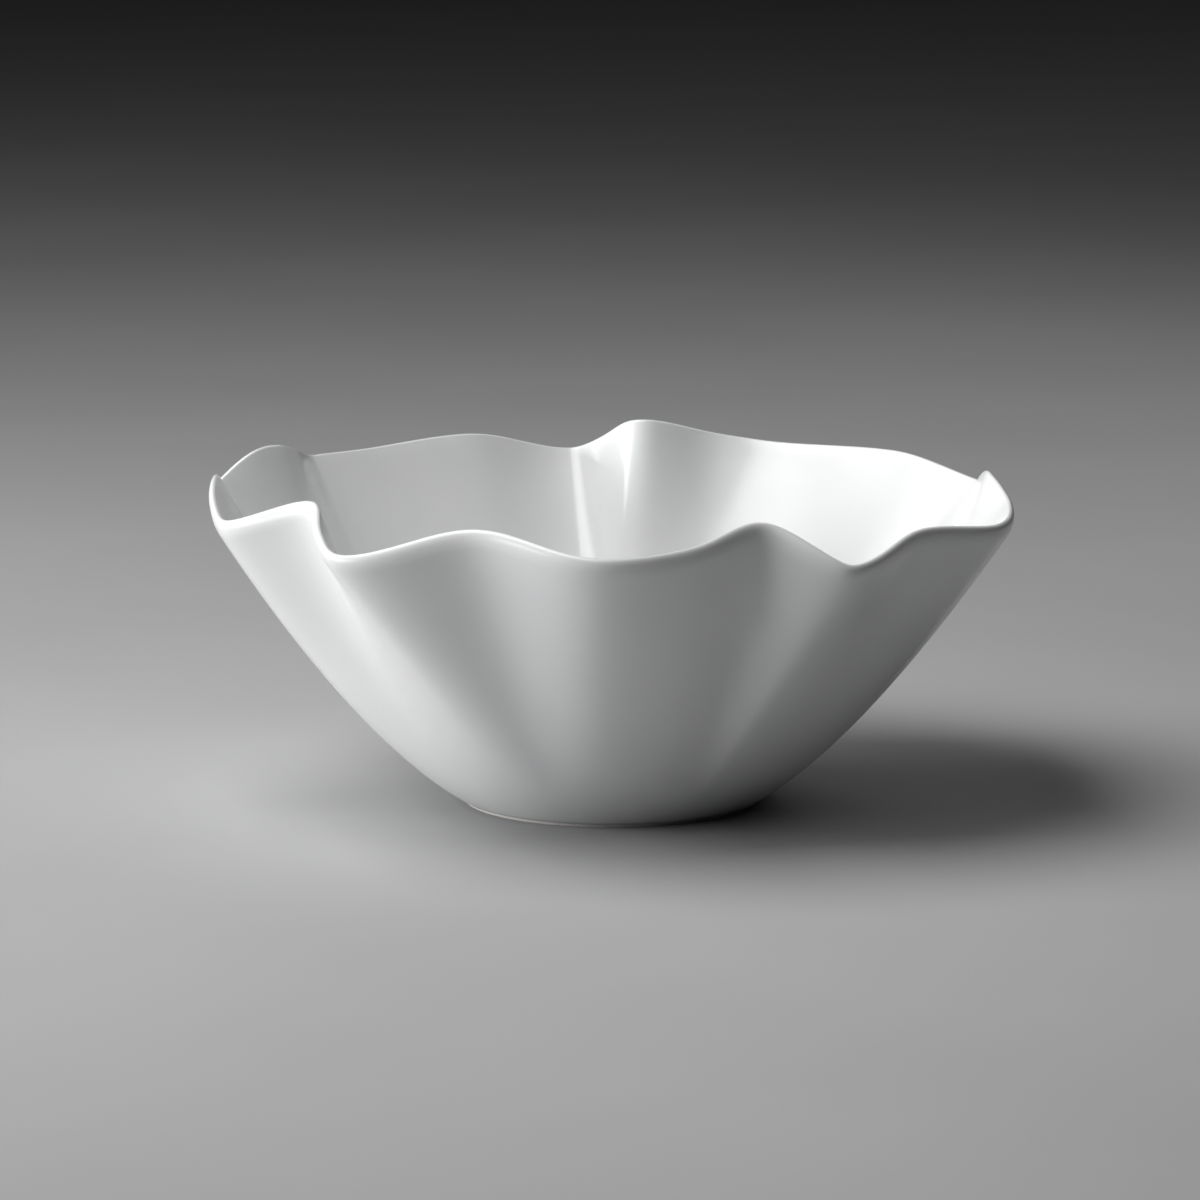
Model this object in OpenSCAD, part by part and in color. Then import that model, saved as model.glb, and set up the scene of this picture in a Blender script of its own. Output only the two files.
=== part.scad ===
// Ruffled porcelain serving bowl: a thin fired body with ten drawn-in folds round its rim,
// one continuous coat of white glaze, a bare ground foot ring and a glazed underside.
// Millimetres. The origin is on the bowl's axis, in the plane that the foot stands on. +Z is up.
// Azimuth 0 faces -Y, the front of the bowl, and azimuth 90 faces +X.

/* [Bowl] */
// Radius at which the wall's outer line ends at the rim, before any fold draws it in
rim_radius = 184; // [176:0.5:190]
// Height at which the wall's outer line ends at the rim, before any fold raises it
rim_height = 128.6; // [120:0.2:138]
// Angle of the wall above the table at the rim
rim_slope = 54; // [51:1:57]
// Thickness of the finished wall, both coats of glaze included
wall_thickness = 5; // [4:0.5:6]
// Length over which the outside of the rim is rounded off
lip_height = 8; // [6:0.5:12]
// How far the top of the rim lies in from the outer face, as a share of the wall's thickness
crown_share = 0.75; // [0.4:0.05:0.8]
// Thickness of the glaze
glaze_thickness = 0.3; // [0.2:0.05:0.4]
// Height of the inside floor above the table
floor_height = 7.6; // [7:0.2:9]

/* [Foot] */
// Radius at which the outer wall springs from the base
base_radius = 66; // [62:1:70]
// Angle of the wall above the table where it springs from the base
base_slope = 30; // [26:1:34]
// Height of the bare foot ring under the base
foot_height = 1.6; // [1.2:0.2:3]
// Width of the face that the bowl stands on, across the ring
foot_width = 5; // [3:0.5:6]
// How far the foot ring is set in from the springing of the wall
foot_inset = 1.5; // [1:0.5:3]
// Depth of the recess inside the ring, above the ring's own height
recess_depth = 1.8; // [1:0.2:2.4]

/* [Folds] */
// Strength of the folds, as a share of the full ruffle
fold_strength = 1; // [0.2:0.1:1]
// Share of the wall's length, from the base, that the folds leave round
fold_start = 0.14; // [0.1:0.02:0.24]
// How quickly the folds deepen towards the rim
fold_power = 2.3; // [1.6:0.1:2.8]

/* [Hidden] */

// The rim's ruffle, read once round from the front. A row stands at each crest and trough and
// where a flank bends: [azimuth in degrees, drawn in towards the axis, raised above rim_height,
// degrees that the fold swings round between the rim and the base].
FOLDS = [
    [12, 16, 7, -1], [24, 27.5, 15.3, -4], [28, 14, 7.2, -5], [33, 0, -3.3, -8],
    [50, 10, 6.7, -4], [67, 1, 2, 0], [80, 6, 5.5, 0], [92, 15, 14, 0], [103, 12, 6.5, 0],
    [115, -3, -2, 0], [130, 9, 7.4, 0], [152, 7, 5, 0], [163, 12, 8.5, 0], [175, 31, 18, 0],
    [180, 11, 6.5, 0], [185.5, -1, -2, 0], [203.5, 14, 9.7, 0], [222, 8.8, 5.6, 0],
    [231, 6, 5.4, 0], [237, 13, 9.4, 0], [243, 20, 14.5, 0], [250.5, 19, 19, 0],
    [254, 12.5, 15, 0], [257, 2, 3, 0], [266, 7, 11.4, 0], [278, 7, 5, 0], [288, 6, 1, 6],
    [302.5, 30, 15, 15], [312.5, 14, 5.5, 20], [319.5, 4, -1, 22], [339.5, 22, 13, 10],
    [359, 8, 3.6, 0]
];

// How far along its tangents the wall's curve is pulled at the base and at the rim
base_pull = 36;
rim_pull = 72;

// Length of the wall's line at the rim for each unit of its parameter, and the places where
// the rounding of the rim starts on the outer face and on the inner one
rim_span = 3 * rim_pull;
lip_start = 1 - lip_height / rim_span;
crown = crown_share * wall_thickness;
edge_start = 1 - (wall_thickness - crown) / rim_span;

// Steps round the bowl, and the places along the wall, from base (0) to rim (1), of its rings
steps = 120;
step_angle = 360 / steps;
low_place = 0.07;
FOLDED_PLACES = [fold_start, 0.27, 0.4, 0.53, 0.66, 0.78, 0.88];
// Segments of each side of the rounded rim and of the bend from wall to floor
lip_segments = 3;
edge_segments = 2;
bend_segments = 3;

edge_chamfer = 0.4;
recess_gap = 0.5;
disc_gap = 0.1;
recess_radius = base_radius - foot_inset - foot_width - recess_gap;
recess_height = foot_height + recess_depth;

// ---- The wall without folds: a cubic curve of [radius, height] in the plane of the axis ----

LINE = [
    [base_radius, foot_height],
    [base_radius + base_pull * cos(base_slope), foot_height + base_pull * sin(base_slope)],
    [rim_radius - rim_pull * cos(rim_slope), rim_height - rim_pull * sin(rim_slope)],
    [rim_radius, rim_height]
];

function line_point(t) =
    pow(1 - t, 3) * LINE[0] + 3 * pow(1 - t, 2) * t * LINE[1]
    + 3 * (1 - t) * pow(t, 2) * LINE[2] + pow(t, 3) * LINE[3];

function line_direction(t) =
    3 * pow(1 - t, 2) * (LINE[1] - LINE[0]) + 6 * (1 - t) * t * (LINE[2] - LINE[1])
    + 3 * pow(t, 2) * (LINE[3] - LINE[2]);

// ---- The folds at the rim, eased between the rows of FOLDS ----

function row(k) = FOLDS[(k + len(FOLDS)) % len(FOLDS)];
function gap(k) = (row(k + 1)[0] - row(k)[0] + 360) % 360;
function rise(k, column) = (row(k + 1)[column] - row(k)[column]) / gap(k);

// Level at a crest or trough, and between the two flanks' slopes elsewhere
function slope(k, column) =
    let (before = rise(k - 1, column), after = rise(k, column))
    before * after <= 0 ? 0
    : (before * gap(k) + after * gap(k - 1)) / (gap(k - 1) + gap(k));

function eased(azimuth, column) =
    let (
        k = [for (j = [0 : len(FOLDS) - 1]) if ((azimuth - row(j)[0] + 720) % 360 < gap(j)) j][0],
        s = ((azimuth - row(k)[0] + 720) % 360) / gap(k)
    )
    (1 + 2 * s) * pow(1 - s, 2) * row(k)[column]
    + s * pow(1 - s, 2) * gap(k) * slope(k, column)
    + pow(s, 2) * (3 - 2 * s) * row(k + 1)[column]
    - pow(s, 2) * (1 - s) * gap(k) * slope(k + 1, column);

// The clay can't crease, so each fold is averaged with its neighbourhood
soften_angle = 1.25;
SOFTEN_WEIGHTS = [1, 4, 6, 4, 1] / 16;
function softened(azimuth, column) =
    let (azimuths = [for (k = [-2 : 2]) azimuth + k * soften_angle])
    fold_strength * SOFTEN_WEIGHTS * [for (a = azimuths) eased(a, column)];

// At each step round the rim, how far the folds move it [out, up] and how far its line leans
RUFFLE = [
    for (azimuth = [0 : step_angle : 360 - step_angle])
    [-softened(azimuth, 1), softened(azimuth, 2)]
];
LEAN = [for (azimuth = [0 : step_angle : 360 - step_angle]) softened(azimuth, 3)];

function ruffle(i) = RUFFLE[(i + steps) % steps];
function lean(i) = LEAN[(i + steps) % steps];

// Share of the rim's fold that reaches a place on the wall, and how fast the share grows
function fade(t) = pow(max(0, t - fold_start) / (1 - fold_start), fold_power);
function fade_growth(t) =
    fold_power / (1 - fold_start) * pow(max(0, t - fold_start) / (1 - fold_start), fold_power - 1);

// ---- The folded wall, at a step round the bowl, as [out from the axis, around it, up] ----

function wall_point(i, t) =
    let (p = line_point(t) + fade(t) * ruffle(i))
    [p[0], 0, p[1]];

function along_wall(i, t) =
    let (
        change = line_direction(t) + fade_growth(t) * ruffle(i),
        turn = -lean(i)
    )
    [change[0], wall_point(i, t)[0] * turn * PI / 180, change[1]];

function round_wall(i, t) =
    let (
        change = fade(t) * (ruffle(i + 1) - ruffle(i - 1)) / 2,
        turn = step_angle + (1 - t) * (lean(i + 1) - lean(i - 1)) / 2
    )
    [change[0], wall_point(i, t)[0] * turn * PI / 180, change[1]];

function unit(v) = v / norm(v);

// Square to the outer face, pointing into the wall
function inward(i, t) = unit(cross(along_wall(i, t), round_wall(i, t)));

// Turns [out, around, up] into a point of the bowl
function placed(i, t, v) =
    let (azimuth = i * step_angle + (1 - t) * lean(i))
    [
        v[0] * sin(azimuth) + v[1] * cos(azimuth),
        v[1] * sin(azimuth) - v[0] * cos(azimuth),
        v[2]
    ];

// A point at a distance in from the outer face
function in_wall(i, t, distance) = placed(i, t, wall_point(i, t) + distance * inward(i, t));

// ---- Sections through the wall. depth is how far a face lies under the finished surface ----

// The outer face's lowest ring stays level with the top of the foot ring
function base_point(i, depth) = placed(i, 0, [base_radius - depth / sin(base_slope), 0, foot_height]);

function outer_face(i, depth) =
    [for (t = concat([low_place], FOLDED_PLACES, [lip_start])) in_wall(i, t, depth)];

// A point on one side of the rounded rim, a quarter of an ellipse that turns from a face of the
// wall (0) to the top of the rim (90). face is that face's distance in from the outer face.
function rim_side(i, depth, start, face, turn) =
    in_wall(
        i,
        start + (1 - start - depth / rim_span) * sin(turn),
        crown + (face - crown) * cos(turn)
    );

function rim(i, depth) = concat(
    [
        for (k = [1 : lip_segments])
        rim_side(i, depth, lip_start, depth, 90 * k / lip_segments)
    ],
    [
        for (k = [edge_segments - 1 : -1 : 1])
        rim_side(i, depth, edge_start, wall_thickness - depth, 90 * k / edge_segments)
    ]
);

function inner_face(i, depth) = [
    for (t = reversed(concat(FOLDED_PLACES, [edge_start])))
    in_wall(i, t, wall_thickness - depth)
];

// The bend from the round part of the wall to the flat floor
bend_foot = line_point(fold_start);
bend_direction = line_direction(fold_start);
bend_angle = atan2(bend_direction[1], bend_direction[0]);
bend_top = bend_foot + wall_thickness * [-sin(bend_angle), cos(bend_angle)];
bend_radius = (bend_top[1] - floor_height) / (1 - cos(bend_angle));
bend_middle = bend_top + bend_radius * [-sin(bend_angle), cos(bend_angle)];

function floor_bend(i, depth) = [
    for (k = [1 : bend_segments])
    let (turn = bend_angle * (1 - k / bend_segments), radius = bend_radius + depth)
    placed(
        i,
        fold_start,
        [bend_middle[0] + radius * sin(turn), 0, bend_middle[1] - radius * cos(turn)]
    )
];

function section(i, depth) = concat(
    [base_point(i, depth)],
    outer_face(i, depth),
    rim(i, depth),
    inner_face(i, depth),
    floor_bend(i, depth)
);

// ---- Faces. Points are stored section by section, with rings points in each section ----

function grid_faces(rings, first = 0) = [
    for (i = [0 : steps - 1])
    for (j = [0 : rings - 2])
    let (
        a = first + i * rings + j,
        b = first + ((i + 1) % steps) * rings + j
    )
    each [[a, a + 1, b + 1], [a, b + 1, b]]
];

function ring(rings, j, first = 0) = [for (i = [0 : steps - 1]) first + i * rings + j];

function joined(lists) = [for (list = lists) each list];

function reversed(list) = [for (k = [len(list) - 1 : -1 : 0]) list[k]];

function turned_over(faces) = [for (face = faces) reversed(face)];

// ---- The sub-parts ----

// The fired body: underside, outer wall, rim, inner wall and floor, all under the glaze
module porcelain_body() {
    sections = [
        for (i = [0 : steps - 1])
        concat(
            [
                for (height = [recess_height, foot_height])
                placed(i, 0, [recess_radius, 0, height])
            ],
            section(i, glaze_thickness)
        )
    ];
    rings = len(sections[0]);
    color("gainsboro")
        polyhedron(
            joined(sections),
            concat(
                grid_faces(rings),
                [ring(rings, 0)],
                [reversed(ring(rings, rings - 1))]
            )
        );
}

// One coat of glaze from the base, up the outside, over the rim and down to the inside floor
module glaze_coat() {
    surface = [for (i = [0 : steps - 1]) section(i, 0)];
    underneath = [for (i = [0 : steps - 1]) section(i, glaze_thickness)];
    rings = len(surface[0]);
    back = steps * rings;
    base_edge = [
        for (i = [0 : steps - 1])
        let (a = i * rings, b = ((i + 1) % steps) * rings)
        each [[a, b, b + back], [a, b + back, a + back]]
    ];
    color("white")
        polyhedron(
            joined(concat(surface, underneath)),
            concat(
                grid_faces(rings),
                turned_over(grid_faces(rings, back)),
                base_edge,
                [reversed(ring(rings, rings - 1))],
                [ring(rings, rings - 1, back)]
            )
        );
}

// The bare ring that was wiped clean of glaze and ground flat, with its edges broken
module foot_ring() {
    outside = base_radius - foot_inset;
    inside = outside - foot_width;
    color("antiquewhite")
        rotate_extrude($fn = 128)
            polygon([
                [inside + edge_chamfer, 0],
                [outside - edge_chamfer, 0],
                [outside, edge_chamfer],
                [outside, foot_height],
                [inside, foot_height],
                [inside, edge_chamfer]
            ]);
}

// The glaze inside the foot ring, on the underside of the floor
module underside_glaze() {
    color("whitesmoke")
        translate([0, 0, recess_height - glaze_thickness])
            cylinder(r = recess_radius - disc_gap, h = glaze_thickness, $fn = 128);
}

porcelain_body();
glaze_coat();
foot_ring();
underside_glaze();
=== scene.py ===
"""A ruffled porcelain serving bowl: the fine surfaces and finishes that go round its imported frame.

Lengths are in metres. The frame's origin is the centre of the foot ring, +Z is up, and azimuth 0
is the front of the bowl, towards -Y, with azimuth 90 towards +X.
"""

import math

import bpy
import numpy as np
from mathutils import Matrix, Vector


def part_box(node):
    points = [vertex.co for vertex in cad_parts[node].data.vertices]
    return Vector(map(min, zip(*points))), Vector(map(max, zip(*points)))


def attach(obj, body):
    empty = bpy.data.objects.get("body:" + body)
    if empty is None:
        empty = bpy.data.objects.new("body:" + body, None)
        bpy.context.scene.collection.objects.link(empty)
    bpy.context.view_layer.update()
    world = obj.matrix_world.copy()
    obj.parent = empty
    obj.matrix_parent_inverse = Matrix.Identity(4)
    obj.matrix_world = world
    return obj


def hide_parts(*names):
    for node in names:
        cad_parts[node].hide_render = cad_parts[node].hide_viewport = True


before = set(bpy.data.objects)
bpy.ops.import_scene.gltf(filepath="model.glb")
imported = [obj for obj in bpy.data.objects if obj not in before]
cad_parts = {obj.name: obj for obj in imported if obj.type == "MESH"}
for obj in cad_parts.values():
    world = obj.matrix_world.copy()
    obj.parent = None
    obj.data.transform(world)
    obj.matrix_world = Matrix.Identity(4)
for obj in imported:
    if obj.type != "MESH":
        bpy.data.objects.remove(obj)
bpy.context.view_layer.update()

# ---- Sizes ----

MM = 0.001
foot_low, foot_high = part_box("foot_ring")
disc_low, disc_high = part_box("underside_glaze")

# The foot ring, which has slightly rounded lower edges and stands in from the edge of the base
FOOT_HEIGHT = foot_high[2] - foot_low[2]
FOOT_OUTSIDE = foot_high[0]
FOOT_WIDTH = 5 * MM
FOOT_INSIDE = FOOT_OUTSIDE - FOOT_WIDTH
FOOT_ROUNDING = 0.4 * MM
FOOT_INSET = 1.5 * MM
BASE_RADIUS = FOOT_OUTSIDE + FOOT_INSET

# The recess in the underside, whose side stands a little in from the foot ring
RECESS_GAP = 0.5 * MM
RECESS_RADIUS = FOOT_INSIDE - RECESS_GAP
RECESS_HEIGHT = disc_high[2]

# The glaze's thickness everywhere, and the dish of it in the recess: its gap to the recess's
# side, the rounding of its corner, and its rings of points as shares of its radius
GLAZE = disc_high[2] - disc_low[2]
DISH_GAP = 0.1 * MM
DISH_ROUNDING = 0.9 * MM
DISH_SHARES = (0.3, 0.6, 0.9)

# The plain wall: where it ends at the rim, its slopes, and the pull along each end's tangent
RIM_RADIUS = 184 * MM
RIM_HEIGHT = 128.6 * MM
RIM_SLOPE = math.radians(54)
BASE_SLOPE = math.radians(30)
RIM_PULL = 72 * MM
BASE_PULL = 36 * MM
WALL = 5 * MM
FLOOR_HEIGHT = 7.6 * MM

# The rounding of the rim: its length down the outer face, and how far in from the outer face
# the rim's top line lies
LIP_HEIGHT = 8 * MM
CROWN = 0.75 * WALL

# The folds, in degrees and millimetres. Each row is [azimuth at the rim, drawn in, raised,
# leaning], where leaning is how far the fold's line swings round on its way down.
FOLDS = np.array([
    [12, 16, 7, -1], [24, 27.5, 15.3, -4], [28, 14, 7.2, -5], [33, 0, -3.3, -8],
    [50, 10, 6.7, -4], [67, 1, 2, 0], [80, 6, 5.5, 0], [92, 15, 14, 0], [103, 12, 6.5, 0],
    [115, -3, -2, 0], [130, 9, 7.4, 0], [152, 7, 5, 0], [163, 12, 8.5, 0], [175, 31, 18, 0],
    [180, 11, 6.5, 0], [185.5, -1, -2, 0], [203.5, 14, 9.7, 0], [222, 8.8, 5.6, 0],
    [231, 6, 5.4, 0], [237, 13, 9.4, 0], [243, 20, 14.5, 0], [250.5, 19, 19, 0],
    [254, 12.5, 15, 0], [257, 2, 3, 0], [266, 7, 11.4, 0], [278, 7, 5, 0], [288, 6, 1, 6],
    [302.5, 30, 15, 15], [312.5, 14, 5.5, 20], [319.5, 4, -1, 22], [339.5, 22, 13, 10],
    [359, 8, 3.6, 0],
])

# The folds start at this share of the wall's line, and grow with this power from there to the rim
FOLD_START = 0.14
FOLD_POWER = 2.3

# Each azimuth takes a weighted mean of the folds at five azimuths, this many degrees apart
SOFTEN_ANGLE = 1.25
SOFTEN_WEIGHTS = np.array([1, 4, 6, 4, 1]) / 16

# Steps round the axis, and rings of points along each part of the wall
STEPS = 480
WALL_RINGS = 40
LIP_RINGS = 12
EDGE_RINGS = 7
BEND_RINGS = 10
FLOOR_RINGS = 6

# ---- The wall's shape ----


def sloped(angle):
    """The direction [out, up] of a line that rises at this angle."""
    return np.array([math.cos(angle), math.sin(angle)])


BASE_END = np.array([BASE_RADIUS, FOOT_HEIGHT])
RIM_END = np.array([RIM_RADIUS, RIM_HEIGHT])
LINE = np.array([
    BASE_END,
    BASE_END + BASE_PULL * sloped(BASE_SLOPE),
    RIM_END - RIM_PULL * sloped(RIM_SLOPE),
    RIM_END,
])


def line_point(t):
    """[radius, height] of the unfolded wall's outer face, from the base at 0 to the rim at 1."""
    t = np.asarray(t, float)[..., None]
    return (
        (1 - t) ** 3 * LINE[0] + 3 * (1 - t) ** 2 * t * LINE[1]
        + 3 * (1 - t) * t ** 2 * LINE[2] + t ** 3 * LINE[3]
    )


def line_direction(t):
    """How fast the line moves in [radius, height] as t grows."""
    t = np.asarray(t, float)[..., None]
    return (
        3 * (1 - t) ** 2 * (LINE[1] - LINE[0]) + 6 * (1 - t) * t * (LINE[2] - LINE[1])
        + 3 * t ** 2 * (LINE[3] - LINE[2])
    )


def eased(azimuth, column):
    """One column of FOLDS at each azimuth: level at crests and troughs, smooth between rows."""
    start = FOLDS[:, 0]
    value = FOLDS[:, column]
    gap = (np.roll(start, -1) - start) % 360
    rise = (np.roll(value, -1) - value) / gap
    rise_before = np.roll(rise, 1)
    gap_before = np.roll(gap, 1)
    slope = (rise_before * gap + rise * gap_before) / (gap + gap_before)
    slope[rise_before * rise <= 0] = 0

    # s runs from 0 at the row before each azimuth to 1 at the row after it
    row = (np.searchsorted(start, azimuth % 360, side="right") - 1) % len(start)
    after = (row + 1) % len(start)
    s = ((azimuth - start[row]) % 360) / gap[row]
    return (
        (1 + 2 * s) * (1 - s) ** 2 * value[row] + s * (1 - s) ** 2 * gap[row] * slope[row]
        + s ** 2 * (3 - 2 * s) * value[after] - s ** 2 * (1 - s) * gap[row] * slope[after]
    )


def softened(azimuth, column):
    """One column of FOLDS as a weighted mean over a few degrees."""
    middle = len(SOFTEN_WEIGHTS) // 2
    return sum(
        weight * eased(azimuth + (k - middle) * SOFTEN_ANGLE, column)
        for k, weight in enumerate(SOFTEN_WEIGHTS)
    )


# At each step round the rim: its azimuth, its move [out, up], and its lean
AZIMUTH = np.arange(STEPS) * 360 / STEPS
RUFFLE = np.stack([-softened(AZIMUTH, 1), softened(AZIMUTH, 2)], axis=1) * MM
LEAN = softened(AZIMUTH, 3)


def unit(vectors):
    """The same directions with length 1."""
    return vectors / np.linalg.norm(vectors, axis=-1, keepdims=True)


def bearing(places):
    """Azimuth in radians of each step's line at each place on the wall: [step, place]."""
    return np.radians(AZIMUTH[:, None] + LEAN[:, None] * (1 - np.asarray(places, float)))


def spread(values):
    """How much values change from one step to the next."""
    return (np.roll(values, -1, axis=0) - np.roll(values, 1, axis=0)) / 2


def folded_wall(places):
    """The outer face's points and inward directions: [step, place, (out, around, up)]."""
    # How far the folds reach at each place, and how fast that grows along the wall's line
    places = np.asarray(places, float)
    share = np.maximum(0, places - FOLD_START) / (1 - FOLD_START)
    reach = share ** FOLD_POWER
    growth = FOLD_POWER / (1 - FOLD_START) * share ** (FOLD_POWER - 1)
    # [radius, height] of the folded wall, and how it changes up the wall and round the bowl
    flat = line_point(places) + RUFFLE[:, None] * reach[:, None]
    lengthways = line_direction(places) + RUFFLE[:, None] * growth[:, None]
    sideways = spread(RUFFLE)[:, None] * reach[:, None]

    # How far the line turns round the axis up the wall, and from one step to the next
    radius = flat[..., 0]
    swing = -np.radians(LEAN)[:, None]
    step = np.radians(360 / STEPS + spread(LEAN)[:, None] * (1 - places))
    point = np.stack([radius, np.zeros_like(radius), flat[..., 1]], axis=-1)
    along = np.stack([lengthways[..., 0], radius * swing, lengthways[..., 1]], axis=-1)
    around = np.stack([sideways[..., 0], radius * step, sideways[..., 1]], axis=-1)
    return point, unit(np.cross(along, around))


def placed(local, places):
    """Turns [step, place, (out, around, up)] into points in the frame."""
    turn = bearing(places)
    out, around, up = local[..., 0], local[..., 1], local[..., 2]
    return np.stack([
        out * np.sin(turn) + around * np.cos(turn),
        around * np.sin(turn) - out * np.cos(turn),
        up + 0 * turn,
    ], axis=-1)


def revolved(line, place=1):
    """The same [radius, height] points at every step, turned as the wall is at that place."""
    line = np.asarray(line, float)
    local = np.stack([line[:, 0], np.zeros(len(line)), line[:, 1]], axis=-1)
    return placed(np.repeat(local[None], STEPS, axis=0), np.full(len(line), place))


# How fast the wall's line gains length at the rim, and from that the places on it where the
# rounding of the rim starts on the outer face and on the inner one
RIM_SPAN = 3 * RIM_PULL
LIP_START = 1 - LIP_HEIGHT / RIM_SPAN
EDGE_START = 1 - (WALL - CROWN) / RIM_SPAN


def outer_face(depth):
    """The wall's outside at a depth in from its surface, from the base up to the lip."""
    places = np.linspace(0, LIP_START, WALL_RINGS)
    point, inward = folded_wall(places)
    face = point + depth * inward
    # The first ring moves in level, so that the base stays flat
    face[:, 0] = point[:, 0] + np.array([-depth / math.sin(BASE_SLOPE), 0, 0])
    return placed(face, places)


def rim_side(depth, start, face, turns):
    """A quarter of an ellipse from a face of the wall (turn 0) to the rim's top line (turn 90).

    It leaves the face at start on the wall's line, where the face lies that far in from outside.
    """
    turns = np.radians(turns)
    places = start + (1 - start - depth / RIM_SPAN) * np.sin(turns)
    point, inward = folded_wall(places)
    across = CROWN + (face - CROWN) * np.cos(turns)
    return placed(point + across[:, None] * inward, places)


def rim(depth):
    """Over the rim from the outer face's last ring to just before the inner face's first."""
    outside = rim_side(depth, LIP_START, depth, np.linspace(0, 90, LIP_RINGS + 1)[1:])
    inside = rim_side(depth, EDGE_START, WALL - depth, np.linspace(90, 0, EDGE_RINGS + 1)[1:-1])
    return np.concatenate([outside, inside], axis=1)


def inner_face(depth):
    """The wall's inside at a depth in from its surface, from the rim down."""
    places = np.linspace(EDGE_START, FOLD_START, WALL_RINGS)
    point, inward = folded_wall(places)
    return placed(point + (WALL - depth) * inward, places)


def floor_bend(depth):
    """From the lowest ring of the inner wall round to the flat floor, then in towards the axis."""
    direction = line_direction(FOLD_START)
    angle = math.atan2(direction[1], direction[0])
    across = np.array([-math.sin(angle), math.cos(angle)])
    top = line_point(FOLD_START) + WALL * across
    radius = (top[1] - FLOOR_HEIGHT) / (1 - math.cos(angle))
    middle = top + radius * across
    turn = np.linspace(angle, 0, BEND_RINGS + 1)[1:]
    bend = middle + (radius + depth) * np.stack([np.sin(turn), -np.cos(turn)], axis=-1)
    shares = np.linspace(1, 0, FLOOR_RINGS + 1)[1:-1, None]
    floor = bend[-1] * np.hstack([shares, np.ones_like(shares)])
    return revolved(np.vstack([bend, floor]), FOLD_START)


def section(depth):
    """The whole glazed surface, or the same at a depth under it: [step, ring, (x, y, z)]."""
    parts = [outer_face(depth), rim(depth), inner_face(depth), floor_bend(depth)]
    return np.concatenate(parts, axis=1)


# ---- Meshes ----

SHARP_ANGLE = math.radians(50)
CORNER_POINTS = 5


def grid_faces(rings, first=0, outwards=True):
    """Quads between neighbouring steps and rings, facing out of the solid."""
    i = np.arange(STEPS)[:, None]
    j = np.arange(rings - 1)[None]
    a = first + i * rings + j
    b = first + (i + 1) % STEPS * rings + j
    corners = [a, b, b + 1, a + 1] if outwards else [a, a + 1, b + 1, b]
    return np.stack(corners, axis=-1).reshape(-1, 4).tolist()


def fan(rings, ring, centre, upwards, first=0):
    """Triangles from one ring to a point on the axis."""
    edge = [first + i * rings + ring for i in range(STEPS)]
    pairs = zip(edge, edge[1:] + edge[:1])
    return [[a, b, centre] if upwards else [b, a, centre] for a, b in pairs]


def new_piece(name, points, faces, material):
    """A smooth-shaded object whose edges are sharp where they turn by more than SHARP_ANGLE."""
    mesh = bpy.data.meshes.new(name)
    mesh.from_pydata([tuple(p) for p in points], [], faces)
    mesh.materials.append(material)
    mesh.polygons.foreach_set("use_smooth", [True] * len(mesh.polygons))
    mesh.set_sharp_from_angle(angle=SHARP_ANGLE)
    mesh.validate()
    piece = bpy.data.objects.new(name, mesh)
    bpy.context.collection.objects.link(piece)
    return piece


def solid_of_rings(name, grid, material):
    """A closed solid swept round the axis, with a fan over its first ring and its last."""
    points = grid.reshape(-1, 3)
    rings = grid.shape[1]
    ends = np.array([[0, 0, grid[0, 0, 2]], [0, 0, grid[0, -1, 2]]])
    faces = grid_faces(rings)
    faces += fan(rings, 0, len(points), upwards=False)
    faces += fan(rings, rings - 1, len(points) + 1, upwards=True)
    return new_piece(name, np.vstack([points, ends]), faces, material)


def glaze_coat(material):
    """The one coat over both sides of the wall, its rim and the floor."""
    surface = section(0)
    underneath = section(GLAZE)
    rings = surface.shape[1]
    back = STEPS * rings
    points = np.vstack([surface.reshape(-1, 3), underneath.reshape(-1, 3)])
    ends = np.array([[0, 0, surface[0, -1, 2]], [0, 0, underneath[0, -1, 2]]])
    faces = grid_faces(rings) + grid_faces(rings, back, outwards=False)
    for i in range(STEPS):
        a = i * rings
        b = (i + 1) % STEPS * rings
        faces.append([a, a + back, b + back, b])
    faces += fan(rings, rings - 1, len(points), upwards=True)
    faces += fan(rings, rings - 1, len(points) + 1, upwards=False, first=back)
    return new_piece("bowl_glaze", np.vstack([points, ends]), faces, material)


def porcelain_body(material):
    """The clay under the glaze, with the flat underside and the recess inside the foot ring."""
    underside = [[RECESS_RADIUS, RECESS_HEIGHT], [RECESS_RADIUS, FOOT_HEIGHT]]
    grid = np.concatenate([revolved(underside, place=0), section(GLAZE)], axis=1)
    return solid_of_rings("bowl_body", grid, material)


def corner(centre, radius, start, end):
    """Points on a quarter circle between two directions in degrees."""
    turn = np.radians(np.linspace(start, end, CORNER_POINTS))
    return [[centre[0] + radius * math.cos(a), centre[1] + radius * math.sin(a)] for a in turn]


def closed_ring(name, line, material):
    """A ring swept from a closed outline of [radius, height] points."""
    points = revolved(line).reshape(-1, 3)
    count = len(line)
    faces = []
    for i in range(STEPS):
        for j in range(count):
            a = i * count + j
            b = (i + 1) % STEPS * count + j
            a_next = i * count + (j + 1) % count
            b_next = (i + 1) % STEPS * count + (j + 1) % count
            faces.append([a, b, b_next, a_next])
    return new_piece(name, points, faces, material)


def foot_ring(material):
    """The bare ring, with its two lower edges rounded."""
    bend = FOOT_ROUNDING
    line = corner([FOOT_INSIDE + bend, bend], bend, 180, 270)
    line += corner([FOOT_OUTSIDE - bend, bend], bend, 270, 360)
    line += [[FOOT_OUTSIDE, FOOT_HEIGHT], [FOOT_INSIDE, FOOT_HEIGHT]]
    return closed_ring("bowl_foot", line, material)


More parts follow.
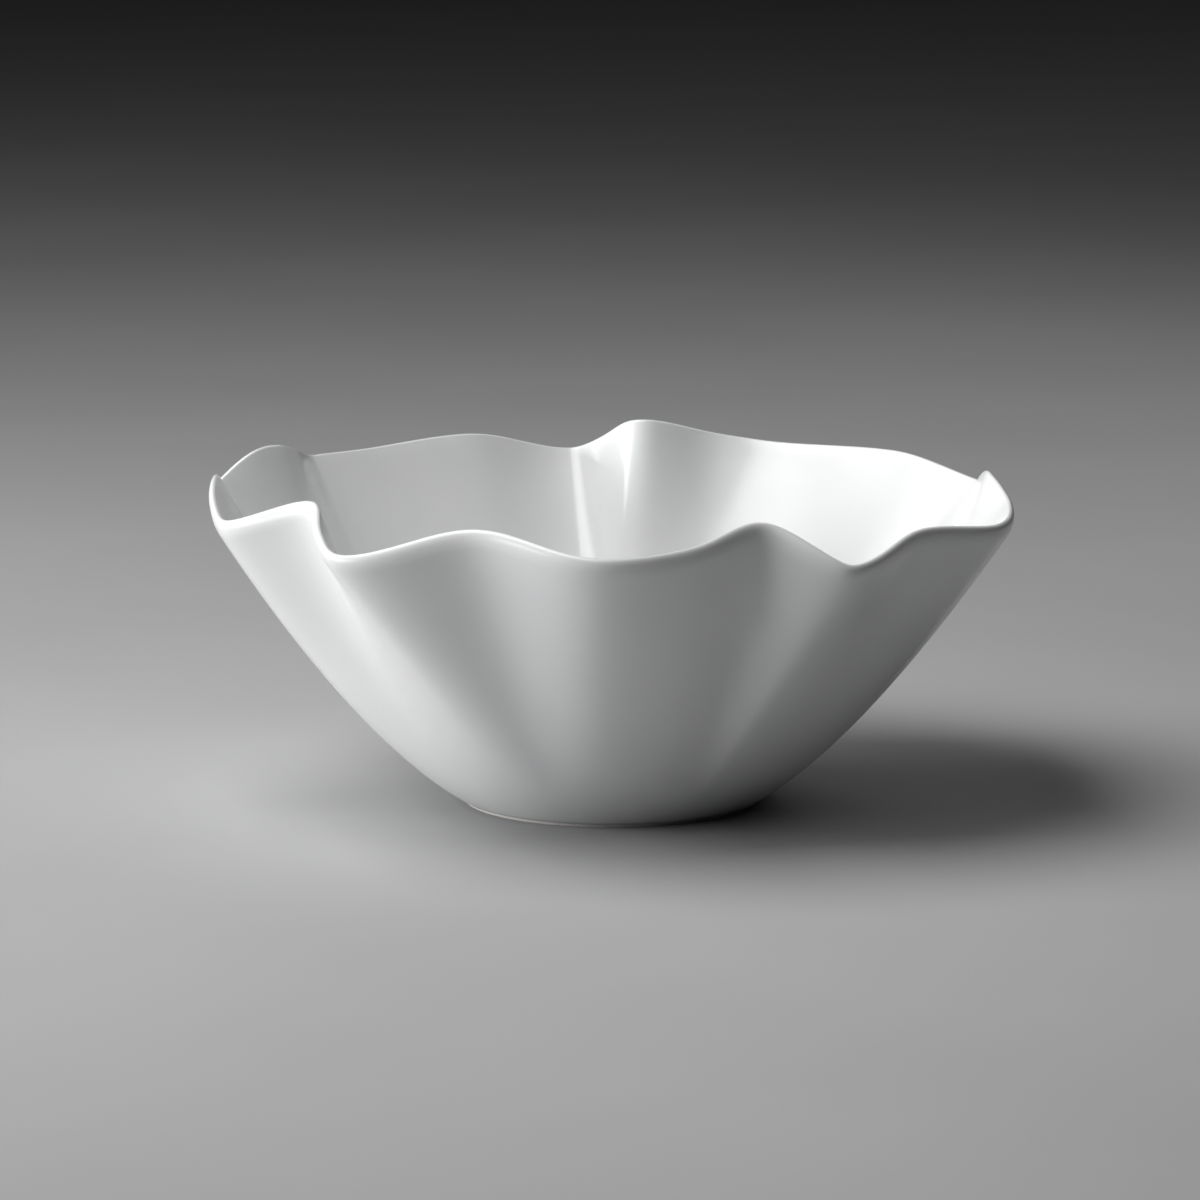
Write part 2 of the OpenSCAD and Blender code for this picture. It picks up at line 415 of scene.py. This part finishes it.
def underside_glaze(material):
    """A shallow dish of glaze that rounds down the side of the recess."""
    edge = RECESS_RADIUS - DISH_GAP
    lip = FOOT_HEIGHT + DISH_GAP
    top = RECESS_HEIGHT
    under = top - GLAZE
    bend = DISH_ROUNDING
    line = [[edge * share, top] for share in (*DISH_SHARES, 1)]
    line += [[edge, lip], [edge - GLAZE, lip]]
    line += corner([edge - GLAZE - bend, under - bend], bend, 0, 90)
    line += [[edge * share, under] for share in reversed(DISH_SHARES)]
    return solid_of_rings("bowl_underside_glaze", revolved(line[::-1]), material)


# ---- Materials ----

# Most of a noise texture's values lie between these two
NOISE_LOW = 0.3
NOISE_HIGH = 0.7


def new_material(name):
    """A node material with its nodes, links and shader."""
    material = bpy.data.materials.new(name)
    material.use_nodes = True
    nodes = material.node_tree.nodes
    return material, nodes, material.node_tree.links, nodes["Principled BSDF"]


def noise(nodes, links, size, detail=3.0):
    """A noise texture in object space whose features are about size metres across."""
    place = nodes.new("ShaderNodeTexCoord")
    texture = nodes.new("ShaderNodeTexNoise")
    texture.inputs["Scale"].default_value = 1 / size
    texture.inputs["Detail"].default_value = detail
    links.new(place.outputs["Object"], texture.inputs["Vector"])
    return texture.outputs["Fac"]


def mapped(nodes, links, value, low, high):
    """A noise value stretched to run from low to high."""
    mapping = nodes.new("ShaderNodeMapRange")
    mapping.inputs["From Min"].default_value = NOISE_LOW
    mapping.inputs["From Max"].default_value = NOISE_HIGH
    mapping.inputs["To Min"].default_value = low
    mapping.inputs["To Max"].default_value = high
    links.new(value, mapping.inputs["Value"])
    return mapping.outputs["Result"]


def mixed(nodes, links, value, first, second):
    """A colour between first and second that follows a noise value."""
    mix = nodes.new("ShaderNodeMix")
    mix.data_type = "RGBA"
    mix.inputs["A"].default_value = (*first, 1)
    mix.inputs["B"].default_value = (*second, 1)
    links.new(mapped(nodes, links, value, 0, 1), mix.inputs["Factor"])
    return mix.outputs["Result"]


def bumped(nodes, links, value, distance, below=None):
    """A bump of that height in metres, on top of the one below it if there is one."""
    bump = nodes.new("ShaderNodeBump")
    bump.inputs["Distance"].default_value = distance
    links.new(value, bump.inputs["Height"])
    if below is not None:
        links.new(below, bump.inputs["Normal"])
    return bump.outputs["Normal"]


def white_glaze():
    """Cool white glaze, pooled a little unevenly, with the faint ripple of a fired surface."""
    material, nodes, links, shader = new_material("white_glaze")
    pooling = noise(nodes, links, size=55 * MM, detail=2)
    haze = noise(nodes, links, size=20 * MM)
    ripple = noise(nodes, links, size=30 * MM, detail=1)
    grain = noise(nodes, links, size=2.5 * MM, detail=2)
    white = mixed(nodes, links, pooling, (0.80, 0.81, 0.81), (0.83, 0.835, 0.83))
    gloss = mapped(nodes, links, haze, 0.20, 0.27)
    rippled = bumped(nodes, links, ripple, 0.12 * MM)
    grained = bumped(nodes, links, grain, 0.004 * MM, below=rippled)
    links.new(white, shader.inputs["Base Color"])
    links.new(gloss, shader.inputs["Roughness"])
    links.new(grained, shader.inputs["Normal"])
    shader.inputs["IOR"].default_value = 1.5
    return material


def bare_porcelain():
    """Ground unglazed porcelain: matt, slightly warm, with fine grit."""
    material, nodes, links, shader = new_material("bare_porcelain")
    grit = noise(nodes, links, size=0.6 * MM, detail=4)
    clay = mixed(nodes, links, grit, (0.46, 0.452, 0.435), (0.58, 0.57, 0.55))
    links.new(clay, shader.inputs["Base Color"])
    links.new(mapped(nodes, links, grit, 0.65, 0.9), shader.inputs["Roughness"])
    links.new(bumped(nodes, links, grit, 0.06 * MM), shader.inputs["Normal"])
    return material


def pale_floor():
    """Matt pale grey, very slightly mottled."""
    material, nodes, links, shader = new_material("pale_floor")
    mottle = noise(nodes, links, size=300 * MM)
    grey = mixed(nodes, links, mottle, (0.43, 0.43, 0.435), (0.46, 0.46, 0.465))
    links.new(grey, shader.inputs["Base Color"])
    shader.inputs["Roughness"].default_value = 0.8
    return material


# ---- The bowl ----

glaze_material = white_glaze()
bare_material = bare_porcelain()

coat = glaze_coat(glaze_material)
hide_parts("glaze_coat")
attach(coat, "root")

body = porcelain_body(bare_material)
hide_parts("porcelain_body")
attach(body, "root")

foot = foot_ring(bare_material)
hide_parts("foot_ring")
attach(foot, "root")

underside = underside_glaze(glaze_material)
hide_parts("underside_glaze")
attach(underside, "root")

# ---- Floor, camera and light ----

FLOOR_SIDE = 24
LIT_POINT = (0, 0, 70 * MM)
WORLD_LIGHT = 0.01


def studio_floor():
    """One flat square, wide enough that its edges are outside the photograph's view."""
    half = FLOOR_SIDE / 2
    corners = [(-half, -half, 0), (half, -half, 0), (half, half, 0), (-half, half, 0)]
    new_piece("studio_floor", corners, [[0, 1, 2, 3]], pale_floor())


def aimed(obj, target):
    """Turns a camera or light at obj's place to look at target."""
    towards = np.array(target) - np.array(obj.location)
    flat = math.hypot(towards[0], towards[1])
    obj.rotation_euler = (
        math.pi / 2 + math.atan2(towards[2], flat),
        0,
        math.atan2(towards[1], towards[0]) - math.pi / 2,
    )


def area_light(name, azimuth, elevation, distance, size, watts):
    """A soft box aimed at the bowl, which sees it at that azimuth and elevation in degrees."""
    lamp = bpy.data.lights.new(name, "AREA")
    lamp.shape = "RECTANGLE"
    lamp.size, lamp.size_y = size
    lamp.energy = watts
    obj = bpy.data.objects.new(name, lamp)
    turn = math.radians(azimuth)
    rise = math.radians(elevation)
    obj.location = (
        distance * math.cos(rise) * math.sin(turn),
        -distance * math.cos(rise) * math.cos(turn),
        distance * math.sin(rise),
    )
    aimed(obj, LIT_POINT)
    bpy.context.collection.objects.link(obj)


def studio_camera():
    """The photograph's view: from the front, a little above the rim, through a long lens."""
    distance = 2.5
    height = 0.515
    aim_height = 0.088
    sideways = -0.0048
    sensor_mm = 36
    focal_length_mm = 174
    lens = bpy.data.cameras.new("camera")
    lens.sensor_width = sensor_mm
    lens.lens = focal_length_mm
    camera = bpy.data.objects.new("camera", lens)
    camera.location = (sideways, -distance, height)
    aimed(camera, (sideways, 0, aim_height))
    bpy.context.collection.objects.link(camera)
    bpy.context.scene.camera = camera


def dark_surroundings():
    """An almost black world, so that the soft boxes do the lighting."""
    world = bpy.data.worlds.new("studio")
    world.use_nodes = True
    background = world.node_tree.nodes["Background"]
    background.inputs["Color"].default_value = (WORLD_LIGHT, WORLD_LIGHT, WORLD_LIGHT, 1)
    bpy.context.scene.world = world


studio_floor()
studio_camera()
area_light("low_front", azimuth=-70, elevation=8, distance=3, size=(1.8, 0.8), watts=23)
area_light("low_side", azimuth=-92, elevation=10, distance=3, size=(1.8, 0.9), watts=56)
area_light("high", azimuth=-76, elevation=65, distance=1.5, size=(1.3, 0.9), watts=19.5)
area_light("back", azimuth=145, elevation=40, distance=2, size=(1.4, 1.0), watts=4)
dark_surroundings()
bpy.context.scene.view_settings.view_transform = "Standard"
